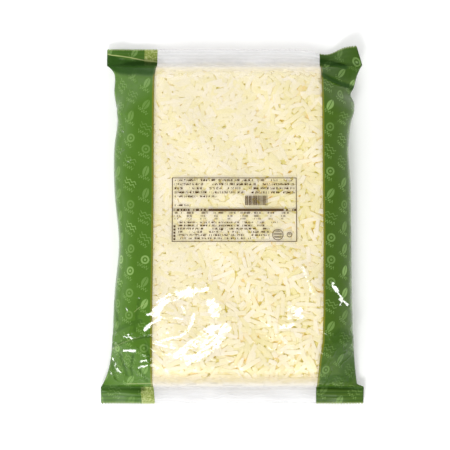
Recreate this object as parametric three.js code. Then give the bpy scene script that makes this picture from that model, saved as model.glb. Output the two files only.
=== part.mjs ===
// A filled catering bag of shredded pizza cheese, lying on its back with the printed table up.
// The bag is a tube of film, sealed flat across both ends. It is one closed solid in millimetres:
// +X runs across the bag, +Y along it towards the end with the lifted corner, and +Z is up.
// The origin is under the middle of the bag, on the surface that it lies on.

import * as THREE from 'three';
import { mergeVertices } from 'three/addons/utils/BufferGeometryUtils.js';

// ---------------------------------------------------------------- driving dimensions

const FLAT_WIDTH = 302; // the empty bag, laid flat
const BAG_LENGTH = 409; // from cut edge to cut edge, as the filled bag lies
const FILL_HEIGHT = 54; // the middle of the filled bag
const SEAL_DEPTH = 20; // the crimped strip at each end
const SEAL_THICKNESS = 1.2; // both layers of film with the crimp in them
const SEAL_HEIGHT = 11; // the root of a seal above the surface
const SEAL_DROOP = 4; // how far a seal hangs down from its root to its cut edge

const TOP_END_REACH = 27; // the shown face climbs from the seal to its full height over this
const BACK_END_REACH = 16; // the underside comes down to the surface over this
const END_SQUARENESS = 2.2; // 2 is round, and more is squarer
const CORNER_REACH = 60; // the corners fill out over this distance from a seal
const CORNER_RAMP = 60; // film added to the slope of the sides at a corner
const CORNER_STEP_REACH = 4; // a corner that steps in does so over this
const SIDE_SEAM_REACH = 70; // the side folds climb from the seal to half height over this

const TOOTH_PITCH = 3.45; // the serrated cut edges
const TOOTH_DEPTH = 1.8;

const HALF_LENGTH = BAG_LENGTH / 2;
const HALF_FILM = FLAT_WIDTH / 2;
const HALF_WALL = SEAL_THICKNESS / 2;
const SEAL_LINE = HALF_LENGTH - SEAL_DEPTH;
const SIDE_RAMP = (Math.PI / 2) * (FILL_HEIGHT / 2); // film of a round side, from its fold to the top
const SIDE_INSET = SIDE_RAMP - FILL_HEIGHT / 2; // a round side draws the outline in by this

// How the outline narrows at each corner: by a step at the seal, then over a length.
const CORNERS = [
  { side: -1, end: -1, step: 0, length: 24 },
  { side: 1, end: -1, step: 7, length: 50 },
  { side: -1, end: 1, step: 0, length: 10 },
  { side: 1, end: 1, step: 0, length: 20 },
];

// Hollows pressed into the two sides: which side, where along the bag, how deep and how long.
const SIDE_HOLLOWS = [
  { side: -1, along: 122, depth: 4.4, length: 24 },
  { side: -1, along: -20, depth: 6, length: 45 },
  { side: 1, along: 151, depth: 3.5, length: 6 },
  { side: 1, along: 135, depth: -3, length: 12 },
  { side: 1, along: 88, depth: 3, length: 30 },
];
const HOLLOW_FILM = 50; // a hollow fades out over this much film from the side fold

// Broad swells of the contents under the film.
const SWELLS = [
  { height: 1.3, acrossWave: 171, alongWave: 233, phase: 0.7 },
  { height: 1.0, acrossWave: -97, alongWave: 121, phase: 2.1 },
  { height: 0.7, acrossWave: 63, alongWave: 83, phase: 4.4 },
];
const SWELL_SINK = 1; // the swells are lowered by this, so that few pass the filled height

// The lifted corner at +X +Y, the pulled-in corner at -X +Y, and the waves in the two seals.
const EAR = { from: 104, to: 150, along: 152, length: 45, lift: 15, push: 3, tuck: 6, narrow: 3 };
const EAR_DIP = { across: 108, width: 19, depth: 6 };
const EAR_CREASES = [
  { from: [101, 190], to: [132, 181], depth: 4.5, width: 4 },
  { from: [103, 171], to: [141, 158], depth: 4.0, width: 4.5 },
];
const PULLED_CORNER = { from: 105, to: 150, along: 150, length: 30, pull: 7, fold: 3.5 };
const SEAL_WAVES = [
  { height: 1.7, wave: 104, phase: 0.9 },
  { height: 0.8, wave: 47, phase: 2.6 },
];
const WAVE_ROOT = 0.67; // the waves are full from this share of a seal's depth out to its edge
const CREASE_FADE = 4; // how quickly a crease fades past its two ends, for its length

// The shreds press small bumps of their own size into the film.
const BUMP_HEIGHT = 0.75;
const BUMP_SEED = 41;

// Rows and columns of the surface.
const SEAL_ROWS = 4;
const END_ROWS = 7;
const MIDDLE_ROWS = 40;
const FACE_COLUMNS = 38;
const BACK_COLUMNS = 14;
const COLUMN_GATHER = 0.35; // 0 spaces the columns evenly, 1 gathers them at the side folds
const MERGE_WITHIN = 1e-4; // points closer than this are one
const BEND_STEPS = 24; // steps of the sum that carries the film round a side

// ---------------------------------------------------------------- small formulas

const clamp01 = (t) => Math.min(Math.max(t, 0), 1);
const smooth = (t) => clamp01(t) ** 2 * (3 - 2 * clamp01(t));
const bell = (t) => Math.exp(-t * t);
const mix = (a, b, t) => a + (b - a) * t;

/** A quarter of a slightly squared ellipse: from 0, rising steeply, to 1, where it is level. */
function quarterRise(t) {
  return (1 - (1 - clamp01(t)) ** END_SQUARENESS) ** (1 / END_SQUARENESS);
}

/** How far in plan the film reaches after `film` of it, climbing `rise` along a quarter sine. */
function planReach(film, rise, ramp) {
  const bent = Math.min(film, ramp);
  const step = bent / BEND_STEPS;
  let reach = Math.max(film - ramp, 0);
  for (let i = 0; i < BEND_STEPS; i += 1) {
    const angle = ((Math.PI / 2) * (i + 0.5) * step) / ramp;
    const slope = Math.min(((rise * Math.PI) / 2 / ramp) * Math.cos(angle), 1);
    reach += step * Math.sqrt(1 - slope * slope);
  }
  return reach;
}

// ---------------------------------------------------------------- the film's surface

/** Heights and side slope of the cross-section at a place along the bag. */
function section(along) {
  const inward = SEAL_LINE - Math.abs(along);
  const outward = clamp01(-inward / SEAL_DEPTH);
  const seal = SEAL_HEIGHT - SEAL_DROOP * outward ** 2;
  return {
    seam: mix(seal, FILL_HEIGHT / 2, smooth(inward / SIDE_SEAM_REACH)),
    crown: mix(seal, FILL_HEIGHT - HALF_WALL, quarterRise(inward / TOP_END_REACH)),
    floor: mix(seal, HALF_WALL, quarterRise(inward / BACK_END_REACH)),
    ramp: SIDE_RAMP + CORNER_RAMP * (1 - smooth(inward / CORNER_REACH)),
    filled: smooth(inward / TOP_END_REACH),
    outward,
  };
}

/** Half the outline's width on one side at a place along the bag, before its hollows. */
function halfWidth(side, along) {
  const inward = Math.max(SEAL_LINE - Math.abs(along), 0);
  const corner = CORNERS.find((c) => c.side === side && c.end === (along < 0 ? -1 : 1));
  const stepped = corner.step * smooth(inward / CORNER_STEP_REACH);
  return HALF_FILM - stepped - (SIDE_INSET - corner.step) * (1 - Math.exp(-inward / corner.length));
}

/** How deep a side's hollows press in at a place along the bag. */
function hollowDepth(side, along) {
  return SIDE_HOLLOWS.filter((hollow) => hollow.side === side).reduce(
    (sum, hollow) => sum + hollow.depth * bell((along - hollow.along) / hollow.length),
    0,
  );
}

/** Depth of a straight crease that fades out towards both its ends. */
function creaseDepth(crease, x, y) {
  const start = new THREE.Vector2(...crease.from);
  const run = new THREE.Vector2(...crease.to).sub(start);
  const place = new THREE.Vector2(x, y).sub(start);
  const share = place.dot(run) / run.lengthSq();
  const aside = run.cross(place) / run.length();
  return crease.depth * bell(aside / crease.width) * bell(Math.max(-share, share - 1, 0) * CREASE_FADE);
}

/** Moves a point of the plain pillow to where the corners and seals of this bag lie. */
function shapeEnds(point, creased) {
  const { x, y } = point;
  const outward = section(y).outward;
  const end = y < 0 ? -1 : 1;
  const ear = smooth((x - EAR.from) / (EAR.to - EAR.from)) * smooth((y - EAR.along) / EAR.length);
  const pulledAcross = clamp01((-x - PULLED_CORNER.from) / (PULLED_CORNER.to - PULLED_CORNER.from));
  const pulled = smooth(pulledAcross) * smooth((y - PULLED_CORNER.along) / PULLED_CORNER.length);
  const waves = SEAL_WAVES.reduce(
    (sum, w) => sum + w.height * Math.sin((2 * Math.PI * x) / w.wave + w.phase * (2 + end)),
    0,
  );
  point.x += PULLED_CORNER.pull * pulled - (EAR.narrow + EAR.tuck * outward) * ear;
  point.y += EAR.push * ear * outward;
  if (end > 0) point.y -= EAR_DIP.depth * bell((x - EAR_DIP.across) / EAR_DIP.width) * outward;
  point.z += EAR.lift * ear + PULLED_CORNER.fold * pulled * Math.sin(Math.PI * pulledAcross);
  point.z += waves * smooth(outward / WAVE_ROOT);
  if (creased) point.z -= EAR_CREASES.reduce((sum, crease) => sum + creaseDepth(crease, x, y), 0);
}

/**
 * A point of the film. `face` is 1 on the shown face and -1 on the underside, `film` is the
 * distance along the film from the middle line, and `along` is the place along the bag.
 */
function filmPoint(face, film, along) {
  const { seam, crown, floor, ramp, filled, outward } = section(along);
  const side = film < 0 ? -1 : 1;
  const fromFold = HALF_FILM - Math.abs(film);
  const level = face > 0 ? crown : floor;
  const rise = Math.abs(level - seam);
  const share = planReach(fromFold, rise, ramp) / planReach(HALF_FILM, rise, ramp);
  const climb = Math.sin((Math.PI / 2) * clamp01(fromFold / ramp));
  const across = side * halfWidth(side, along) * (1 - share);
  const point = new THREE.Vector3(across, along, mix(seam, level, climb));
  point.x -= side * hollowDepth(side, along) * (1 - smooth(fromFold / HOLLOW_FILM));
  if (face > 0) {
    const swell = SWELLS.reduce(
      (sum, s) =>
        sum + s.height * Math.sin(2 * Math.PI * (film / s.acrossWave + along / s.alongWave) + s.phase),
      0,
    );
    point.z += (swell - SWELL_SINK) * filled * climb;
  }
  shapeEnds(point, face > 0 && outward === 0);
  point.z += face * HALF_WALL; // the seal's two layers stand apart by its thickness
  return point;
}

// ---------------------------------------------------------------- rows and columns

/** Places along the bag of every row between the two cut edges, closer together at the ends. */
function rowPlaces() {
  const places = [];
  for (let i = 1; i <= SEAL_ROWS; i += 1) {
    places.push(mix(HALF_LENGTH - TOOTH_DEPTH, SEAL_LINE, i / SEAL_ROWS));
  }
  for (let i = 1; i <= END_ROWS; i += 1) {
    places.push(SEAL_LINE - TOP_END_REACH * (1 - Math.cos(((Math.PI / 2) * i) / END_ROWS)));
  }
  const halfMiddle = SEAL_LINE - TOP_END_REACH;
  for (let i = 1; i < MIDDLE_ROWS; i += 1) {
    places.push(halfMiddle * (1 - (2 * i) / MIDDLE_ROWS));
  }
  const ends = places.slice(0, SEAL_ROWS + END_ROWS);
  return [...places, ...ends.reverse().map((place) => -place)];
}

/** Distances along the film across one face, closer together towards the side folds. */
function columnPlaces(columns) {
  return Array.from({ length: columns + 1 }, (_, i) => {
    const t = (2 * i) / columns - 1;
    return HALF_FILM * mix(t, Math.sin((Math.PI / 2) * t), COLUMN_GATHER);
  });
}

/** The serrated cut edge of one layer: tips stand out from the places between them. */
function cutEdge(face, end) {
  const steps = 2 * Math.round(FLAT_WIDTH / TOOTH_PITCH);
  return Array.from({ length: steps + 1 }, (_, i) => {
    const film = mix(-HALF_FILM, HALF_FILM, i / steps);
    const reach = i % 2 === 0 ? TOOTH_DEPTH : 0;
    return { film, point: filmPoint(face, film, end * (HALF_LENGTH - reach)) };
  });
}

/** One row of a face: each place has its film distance, its place along the bag and its point. */
function faceRow(face, films, along) {
  return films.map((film) => ({ film, along, point: filmPoint(face, film, along) }));
}

// ---------------------------------------------------------------- the closed solid

/** Fills the strip between two rows of any two counts with triangles, outwards for `face`. */
function zipRows(triangles, outer, inner, face) {
  const filmAt = (row, i) => (i < row.length ? row[i].film : Infinity);
  let i = 0;
  let j = 0;
  while (i < outer.length - 1 || j < inner.length - 1) {
    const corners = [outer[i].point, inner[j].point];
    if (filmAt(outer, i + 1) <= filmAt(inner, j + 1)) {
      i += 1;
      corners.push(outer[i].point);
    } else {
      j += 1;
      corners.push(inner[j].point);
    }
    triangles.push(...(face > 0 ? corners : corners.reverse()));
  }
}

/** Closes the thin wall between the two layers along one line of points. */
function joinLayers(triangles, face, back) {
  for (let i = 0; i < face.length - 1; i += 1) {
    triangles.push(face[i], face[i + 1], back[i + 1]);
    triangles.push(face[i], back[i + 1], back[i]);
  }
}

/** Presses the shreds' bumps into the inner points of the shown face. */
function addBumps(rows) {
  THREE.MathUtils.seededRandom(BUMP_SEED);
  for (const row of rows) {
    const { filled } = section(row[0].along);
    for (const place of row.slice(1, -1)) {
      const flat = smooth((HALF_FILM - Math.abs(place.film)) / SIDE_RAMP);
      place.point.z += BUMP_HEIGHT * (2 * THREE.MathUtils.seededRandom() - 1) * filled * flat;
    }
  }
}

/** The whole bag as a closed surface. */
function bagGeometry() {
  const alongs = rowPlaces();
  const layers = [1, -1].map((face) => {
    const films = columnPlaces(face > 0 ? FACE_COLUMNS : BACK_COLUMNS);
    const rows = alongs.map((along) => faceRow(face, films, along));
    if (face > 0) addBumps(rows);
    return [cutEdge(face, 1), ...rows, cutEdge(face, -1)];
  });
  const triangles = [];
  layers.forEach((rows, layer) => {
    for (let i = 0; i < rows.length - 1; i += 1) {
      zipRows(triangles, rows[i], rows[i + 1], layer === 0 ? 1 : -1);
    }
  });
  const [faceRows, backRows] = layers;
  const edge = (rows, pick) => rows.map((row) => pick(row).point);
  const first = (row) => row[0];
  const last = (row) => row[row.length - 1];
  joinLayers(triangles, edge(backRows, first), edge(faceRows, first));
  joinLayers(triangles, edge(faceRows, last), edge(backRows, last));
  joinLayers(triangles, faceRows[0].map((p) => p.point), backRows[0].map((p) => p.point));
  joinLayers(triangles, last(backRows).map((p) => p.point), last(faceRows).map((p) => p.point));
  return mergeVertices(new THREE.BufferGeometry().setFromPoints(triangles), MERGE_WITHIN);
}

/** Puts the origin under the middle of the bag's box, on the surface. */
function centred(geometry) {
  geometry.computeBoundingBox();
  const box = geometry.boundingBox;
  const middle = box.getCenter(new THREE.Vector3());
  return geometry.translate(-middle.x, -middle.y, -box.min.z);
}

// ---------------------------------------------------------------- the bag

const bag = new THREE.Mesh(
  centred(bagGeometry()),
  new THREE.MeshStandardMaterial({ color: 0xf7ebc5, roughness: 0.28, metalness: 0 }),
);
bag.geometry.computeVertexNormals();
bag.name = 'cheese_bag';

const model = new THREE.Group();
model.add(bag);

export default model;
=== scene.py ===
# %% [markdown]
# # A catering bag of shredded pizza cheese
#
# The bag is one tube of thin film, crimped shut at both ends and lying on its back. Its middle is
# clear, so the shreds show, and two printed green bands run down its sides. The fixed frame gives the
# bag's place and size as one plain solid. Here that solid is replaced by what it stands for: the film
# with its print, and the cheese inside it.
#
# The film and the shreds both follow one formula for the film's surface, so the cheese always lies
# just inside the film, seen from any side.

import math

import bpy
import numpy as np
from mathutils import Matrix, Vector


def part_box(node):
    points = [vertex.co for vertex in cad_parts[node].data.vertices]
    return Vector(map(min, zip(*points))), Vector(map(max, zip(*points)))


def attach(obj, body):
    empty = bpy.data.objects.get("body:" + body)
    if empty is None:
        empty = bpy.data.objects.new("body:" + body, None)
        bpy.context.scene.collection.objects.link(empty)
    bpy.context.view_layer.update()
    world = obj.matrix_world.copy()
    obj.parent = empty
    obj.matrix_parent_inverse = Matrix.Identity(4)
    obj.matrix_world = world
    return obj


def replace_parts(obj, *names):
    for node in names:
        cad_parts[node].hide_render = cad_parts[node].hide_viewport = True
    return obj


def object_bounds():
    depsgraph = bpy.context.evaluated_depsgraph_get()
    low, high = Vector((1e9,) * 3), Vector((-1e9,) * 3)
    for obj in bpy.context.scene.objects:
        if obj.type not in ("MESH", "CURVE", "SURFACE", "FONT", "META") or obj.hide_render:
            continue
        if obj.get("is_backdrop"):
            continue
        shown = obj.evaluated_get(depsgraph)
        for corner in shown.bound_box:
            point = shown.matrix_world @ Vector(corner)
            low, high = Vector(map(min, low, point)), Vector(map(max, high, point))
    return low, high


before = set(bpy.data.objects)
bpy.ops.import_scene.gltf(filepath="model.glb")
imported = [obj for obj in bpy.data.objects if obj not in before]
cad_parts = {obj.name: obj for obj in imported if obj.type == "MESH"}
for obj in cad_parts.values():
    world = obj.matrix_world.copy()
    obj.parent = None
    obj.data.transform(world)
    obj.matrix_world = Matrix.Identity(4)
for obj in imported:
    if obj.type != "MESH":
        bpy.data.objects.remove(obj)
cad_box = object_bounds()
bag_low, bag_high = (np.array(corner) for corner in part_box("cheese_bag"))
print("the solid bag spans", np.round(bag_high - bag_low, 4), "m")

# %% [markdown]
# ## The sizes of the bag
#
# Every length is in metres. The numbers are those of the solid bag, written in millimetres and scaled
# once, so that a reader can check them with a ruler.

# %% Driving sizes
MM = 0.001
FLAT_WIDTH = 302 * MM  # the empty bag, laid flat
BAG_LENGTH = 409 * MM  # from cut edge to cut edge
FILL_HEIGHT = 54 * MM
SEAL_DEPTH = 20 * MM
SEAL_WALL = 0.6 * MM  # half of the two crimped layers at a seal
SEAL_HEIGHT = 11 * MM  # of a seal above the table
SEAL_DROOP = 4 * MM  # its cut edge hangs this much lower
TOP_END_REACH = 27 * MM  # length of the end slope of the shown face
BACK_END_REACH = 16 * MM  # and of the underside
END_SQUARENESS = 2.2  # 2 is a quarter of an ellipse, and more is squarer
CORNER_REACH = 60 * MM  # the side slopes are wider this near to a seal
CORNER_RAMP = 60 * MM  # and at the seal by this much, measured along the film
CORNER_STEP_REACH = 4 * MM  # a corner's step in the outline is spread over this length
SIDE_SEAM_REACH = 70 * MM  # over this length the side fold rises to half the height
TOOTH_DEPTH = 1.8 * MM
HALF_LENGTH = BAG_LENGTH / 2
HALF_FILM = FLAT_WIDTH / 2
SEAL_LINE = HALF_LENGTH - SEAL_DEPTH
SIDE_RAMP = (math.pi / 2) * (FILL_HEIGHT / 2)
SIDE_INSET = SIDE_RAMP - FILL_HEIGHT / 2

# side, end, step at the seal, length over which the outline narrows
CORNERS = [
    (-1, -1, 0 * MM, 24 * MM),
    (1, -1, 7 * MM, 50 * MM),
    (-1, 1, 0 * MM, 10 * MM),
    (1, 1, 0 * MM, 20 * MM),
]
# side, place along the bag, depth, length
SIDE_HOLLOWS = [
    (-1, 122 * MM, 4.4 * MM, 24 * MM),
    (-1, -20 * MM, 6 * MM, 45 * MM),
    (1, 151 * MM, 3.5 * MM, 6 * MM),
    (1, 135 * MM, -3 * MM, 12 * MM),
    (1, 88 * MM, 3 * MM, 30 * MM),
]
HOLLOW_FILM = 50 * MM  # a hollow dies away over this much film
# height, wave across, wave along, phase
SWELLS = [
    (1.3 * MM, 171 * MM, 233 * MM, 0.7),
    (1.0 * MM, -97 * MM, 121 * MM, 2.1),
    (0.7 * MM, 63 * MM, 83 * MM, 4.4),
]
SWELL_SINK = 1 * MM  # takes the swells down again, so that the bag keeps its thickness
# height, wave, phase
SEAL_WAVES = [(1.7 * MM, 104 * MM, 0.9), (0.8 * MM, 47 * MM, 2.6)]
WAVE_ROOT = 0.67  # the seals' waves grow over this share of their depth
print(f"a filled bag {BAG_LENGTH:.3f} m long and {FILL_HEIGHT:.3f} m thick")

# %% [markdown]
# ## The surface of the film
#
# A filled bag could be sculpted by hand or puffed up by a cloth simulation. A formula is surer here:
# film hardly stretches, so a cross-section is drawn by walking along the film from the side fold. Each
# step climbs a little and moves inwards by what is left of the step. That gives round sides in the
# middle of the bag and flat, thin corners at the seals, as the real one has.

# %% Small formulas for whole arrays
def smooth(t):
    """0 below 0, 1 above 1, and a smooth S between: t squared times (3 minus 2 t)."""
    t = np.clip(t, 0, 1)
    return t * t * (3 - 2 * t)


def bell(t):
    """A round bump of height 1 at t = 0: e to the power of minus t squared."""
    return np.exp(-(t**2))


def mix(a, b, t):
    """a where t is 0 and b where t is 1, in a straight line between."""
    return a + (b - a) * t


def quarter_rise(t):
    """A quarter of a slightly squared ellipse: (1 - (1 - t)^n)^(1/n), from 0 up to a level 1."""
    return (1 - (1 - np.clip(t, 0, 1)) ** END_SQUARENESS) ** (1 / END_SQUARENESS)


def plan_reach(film, rise, ramp, steps=24):
    """How far in plan the film reaches: the sum of sqrt(1 - slope squared) over steps of film.

    The film climbs `rise` over `ramp` along a quarter of a sine, and lies level after that.
    """
    bent = np.minimum(film, ramp)
    reach = np.maximum(film - ramp, 0)
    for i in range(steps):
        angle = (math.pi / 2) * (i + 0.5) / steps * bent / ramp
        slope = np.minimum(rise * math.pi / 2 / ramp * np.cos(angle), 1)
        reach = reach + bent / steps * np.sqrt(1 - slope**2)
    return reach


print("half the flat film reaches", round(float(plan_reach(HALF_FILM, FILL_HEIGHT / 2, SIDE_RAMP)), 4), "m")


# %% The cross-section and the outline
def section(along):
    """Heights of the side fold, the shown face and the underside, and the film in the side's slope."""
    inward = SEAL_LINE - np.abs(along)
    outward = np.clip(-inward / SEAL_DEPTH, 0, 1)
    seal = SEAL_HEIGHT - SEAL_DROOP * outward**2
    return {
        "seam": mix(seal, FILL_HEIGHT / 2, smooth(inward / SIDE_SEAM_REACH)),
        "crown": mix(seal, FILL_HEIGHT - SEAL_WALL, quarter_rise(inward / TOP_END_REACH)),
        "floor": mix(seal, SEAL_WALL, quarter_rise(inward / BACK_END_REACH)),
        "ramp": SIDE_RAMP + CORNER_RAMP * (1 - smooth(inward / CORNER_REACH)),
        "filled": smooth(inward / TOP_END_REACH),
        "outward": outward,
    }


def half_width(side, along):
    """Half the outline's width: the flat film less a step and an exponential inset at each corner."""
    inward = np.maximum(SEAL_LINE - np.abs(along), 0)
    inset = np.zeros(np.broadcast(side, along).shape)
    for corner_side, end, step, length in CORNERS:
        here = (side == corner_side) & (np.where(along < 0, -1, 1) == end)
        taper = (SIDE_INSET - step) * (1 - np.exp(-inward / length))
        inset = np.where(here, step * smooth(inward / CORNER_STEP_REACH) + taper, inset)
    return HALF_FILM - inset


def hollow_depth(side, along):
    """How deep the sides are pressed in: a sum of bells, one for each hollow."""
    depth = np.zeros(np.broadcast(side, along).shape)
    for hollow_side, place, deep, length in SIDE_HOLLOWS:
        depth = depth + (side == hollow_side) * deep * bell((along - place) / length)
    return depth


print("without its hollows the bag is", round(2 * float(half_width(1, 0.0)), 4), "m wide in the middle")


# %% The corners and the seals
# the lifted corner: where across and along it begins, how high it stands and how it is drawn in
EAR = {"from": 104 * MM, "to": 150 * MM, "along": 152 * MM, "length": 45 * MM, "lift": 15 * MM,
       "push": 3 * MM, "tuck": 6 * MM, "narrow": 3 * MM}
EAR_DIP = (108 * MM, 19 * MM, 6 * MM)  # place, width and depth of the notch in the cut edge beside it
# the pulled-in corner: where it begins, how far it is drawn in and how high its fold is
PULLED = {"from": 105 * MM, "to": 150 * MM, "along": 150 * MM, "length": 30 * MM,
          "pull": 7 * MM, "fold": 3.5 * MM}


def shape_ends(x, y, z):
    """Lifts one corner, pulls in another and waves the seals: smooth steps and sines added to x, y, z."""
    outward = section(y)["outward"]
    end = np.where(y < 0, -1, 1)
    ear = smooth((x - EAR["from"]) / (EAR["to"] - EAR["from"])) * smooth((y - EAR["along"]) / EAR["length"])
    across = np.clip((-x - PULLED["from"]) / (PULLED["to"] - PULLED["from"]), 0, 1)
    pulled = smooth(across) * smooth((y - PULLED["along"]) / PULLED["length"])
    waves = sum(high * np.sin(2 * math.pi * x / wave + phase * (2 + end)) for high, wave, phase in SEAL_WAVES)
    dip = EAR_DIP[2] * bell((x - EAR_DIP[0]) / EAR_DIP[1]) * outward * (end > 0)
    new_x = x + PULLED["pull"] * pulled - (EAR["narrow"] + EAR["tuck"] * outward) * ear
    new_y = y + EAR["push"] * ear * outward - dip
    new_z = z + EAR["lift"] * ear + PULLED["fold"] * pulled * np.sin(math.pi * across)
    return new_x, new_y, new_z + waves * smooth(outward / WAVE_ROOT)


def plain_film(face, film, along):
    """Points of the smooth film: face is 1 or -1, film is the distance from the middle line."""
    face, film, along = np.broadcast_arrays(face, film, along)
    part = section(along)
    side = np.where(film < 0, -1, 1)
    from_fold = np.maximum(HALF_FILM - np.abs(film), 0)
    level = np.where(face > 0, part["crown"], part["floor"])
    rise = np.abs(level - part["seam"])
    share = plan_reach(from_fold, rise, part["ramp"]) / plan_reach(HALF_FILM, rise, part["ramp"])
    climb = np.sin(math.pi / 2 * np.clip(from_fold / part["ramp"], 0, 1))
    x = side * half_width(side, along) * (1 - share)
    x = x - side * hollow_depth(side, along) * (1 - smooth(from_fold / HOLLOW_FILM))
    swell = sum(high * np.sin(2 * math.pi * (film / wide + along / long) + phase)
                for high, wide, long, phase in SWELLS)
    z = mix(part["seam"], level, climb) + (face > 0) * (swell - SWELL_SINK) * part["filled"] * climb
    return np.stack(shape_ends(x, along + 0 * x, z), -1)


middle_line = [float(plain_film(face, 0.0, 0.0)[2]) for face in (1, -1)]
print("the middle of the bag lies between", np.round(middle_line, 4), "m above the table")

# %% Rows and columns of the film
COLUMNS = 176  # two for each tooth of the cut edge, one at its tip and one at its root
SEAL_ROWS, END_ROWS, UPPER_ROWS, LOWER_ROWS = 16, 26, 96, 92
LOWER_PART = -62 * MM  # below this the film is slackest, so its rows lie closer


def row_places():
    """Places along the bag: even in the seals and the middle, and cosine-spaced up the end slopes."""
    teeth = HALF_LENGTH - 1.4 * TOOTH_DEPTH
    seal = np.concatenate([[HALF_LENGTH], np.linspace(teeth, SEAL_LINE, SEAL_ROWS - 1, endpoint=False)])
    slope = SEAL_LINE - TOP_END_REACH * (1 - np.cos(np.linspace(0, math.pi / 2, END_ROWS, endpoint=False)))
    inner = SEAL_LINE - TOP_END_REACH
    upper = np.linspace(inner, LOWER_PART, UPPER_ROWS, endpoint=False)
    lower = np.linspace(LOWER_PART, -inner, LOWER_ROWS)
    ends = np.concatenate([seal, slope])
    return np.concatenate([ends, upper, lower, -ends[::-1]])


films = np.linspace(-HALF_FILM, HALF_FILM, COLUMNS + 1)
alongs = row_places()
plain_top = plain_film(1, films[None, :], alongs[:, None])
centre = (plain_top.reshape(-1, 3).min(0) + plain_top.reshape(-1, 3).max(0)) / 2
PLACE = np.array([*((bag_low + bag_high) / 2 - centre)[:2], 0.0])
print(len(alongs), "rows of", len(films), "columns; the film is moved by", np.round(PLACE, 5), "m")

# %% [markdown]
# ## Wrinkles, lumps and the crimp
#
# Thin film never lies quite flat. It is pleated at the seals, tucked at the corners and puckered along
# the side folds, and the shreds behind it push out small lumps. These shape the outline and the shading,
# so they are real relief in the mesh and not only bump in the material.
#
# Slack film also leans here and there, and where it leans towards the light it mirrors it. A cloth
# simulation would put such glare anywhere. Here its stretches are drawn as paths over the shown face,
# and the share of the lean is stored in the mesh for the film's finish to turn its normal by.

# %% Where the film leans, is creased and is tucked
TOWARDS_LIGHT = math.radians(-104)  # azimuth of the soft light
LIGHT_ZENITH = math.radians(40)
LEAN_TILT = LIGHT_ZENITH / 2  # film that leans this far mirrors the light straight up
TUCK_DEPTH = 1.6 * MM


def read_paths(text):
    """Paths over the shown face, one a line: two numbers, then `across along` points, in millimetres."""
    paths = []
    for line in text.strip().splitlines():
        numbers, points = line.split(":")
        path = [tuple(map(float, point.split())) for point in points.split(",")]
        paths.append((path, *map(float, numbers.split())))
    return paths


# stretches of slack film that lean: half width and share of the full lean
LEANS = read_paths("""
5.2 1: -88 -100, -84 -93, -78 -86, -70 -81, -57 -77, -44 -75
2.6 0.95: -44 -75, -36 -73, -28 -72
6.4 1: -23 -88, -20 -94, -17 -99
1.9 1: -99 -118, -95 -114, -89 -109, -81 -105
1.2 0.9: -81 -105, -70 -104, -57 -106
1.6 0.95: -96 -101, -90 -100, -84 -96
1.8 0.9: -57 -90, -54 -99
2.2 1: -44 -101, -46 -112, -53 -121, -58 -125
1.3 0.95: -58 -125, -68 -128, -90 -132
1.2 0.85: -90 -133, -72 -138, -60 -139
5.6 1: -8 -116, -13 -127, -22 -137, -36 -146, -50 -153
3.8 1: -14 -114, -26 -118, -36 -126, -50 -136, -62 -147
4.4 0.97: -22 -124, -38 -138
4.6 0.97: 66 -96, 76 -96
3.6 1: 65 -103, 77 -103
2.2 1: 55 -115, 64 -114, 71 -112
2.1 1: 79 -48, 83 -59, 91 -78
2.9 1: 113.5 -67, 115.5 -70, 118 -74
1.2 1: 119.5 -77, 122 -80, 125 -83.5
1.8 1: 121 -83.5, 126 -86, 131 -90.5
1.7 1: 121.5 -90.5, 123.5 -86.5
1.1 0.9: -120 -92, -119 -97
1 0.95: -123 -126, -118 -127
1.2 1: -118 -124, -114 -128
0.8 0.8: -121 -133, -113 -130
2.1 1: -123 -142.5, -117 -141.6, -111 -142
1.7 1: -104 -154, -97 -152.8
1.7 1: -106 -161, -97 -158.8
1.9 0.97: -134 -157, -131 -166
1 1: -141 -165, -138 -172
0.8 0.97: -112 -165, -107 -172
0.8 0.97: -123 -158, -119 -164
1.1 0.95: -138 -137, -132 -133
1.5 1: -137 -152, -134 -161, -128 -168
0.8 1: -81 -179.3, -76 -179.5
0.7 1: -68 -182, -61 -182.2
0.8 1: -52 -181, -42 -180.6
0.8 1: -24 -179.6, -17 -180
0.6 0.95: -11 -182.3, 11 -182.6
1.2 1: -125 107, -123 105
1.1 1: -127 83, -123 85
1.3 1: -119 71, -115 73
""")

# sharp creases pressed into the film: depth and half width
CREASES = read_paths("""
0.9 1.7: -138.5 -139, -128 -134, -122 -131, -105 -127, -91 -125
0.9 1.8: -134 -129, -112 -124
2.6 2.6: 100 187, 113 186, 124 182, 130 179
2.4 2.6: 104 169, 112 165, 122 161, 138 156
""")

# tucks, where the film is pressed in and its ink goes matt and is painted darker as painted shade; the two
# widest paint shade over the lifted corner and the lower right band: half width and share
TUCKS_AND_PAINTED_SHADE = read_paths("""
8.8 0.92: -141 188, -129 182.5, -117.5 180.5, -106 180.5, -94.5 178.5, -86 180
5.5 0.3: -146 201, -128 199, -106 197
2.8 0.9: 99 189, 111.6 186.5, 120.7 183.7, 129 181
4.6 0.5: 101 196, 108 191.5
11 0.38: 108 181, 122 176, 134 178, 140 186, 136 196, 118 193
2.6 0.85: 102 171.5, 112.7 165.4, 125.3 160.8, 138 157.4
3.4 0.6: -149 -187, -104 -187
1.8 0.65: 98 -185, 125 -186.5, 150 -188
1.3 0.5: -139 -139.5, -128 -134.5, -122 -131.5
0.9 0.35: -114 -129, -105 -127, -91 -125.5
2.4 0.35: -134 -120, -118 -112, -104 -108
1.3 0.55: -112 -147, -115 -158, -114 -171
1.5 0.45: -98 -135, -93 -154
1.6 0.45: -128 -147, -124 -158, -120 -171
1.4 0.35: -136 -85, -131 -102, -128 -118
1.8 0.3: -105 -84, -108 -102, -110 -119
1.6 0.4: -139 -155, -133 -176
1.5 0.4: -104 -165, -97 -177
2.2 0.3: 106 -131, 118 -150, 131 -167
11 0.42: 122 -128, 128 -146, 134 -166
4.5 0.5: 106 -176, 120 -174, 134 -176
""")

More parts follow.
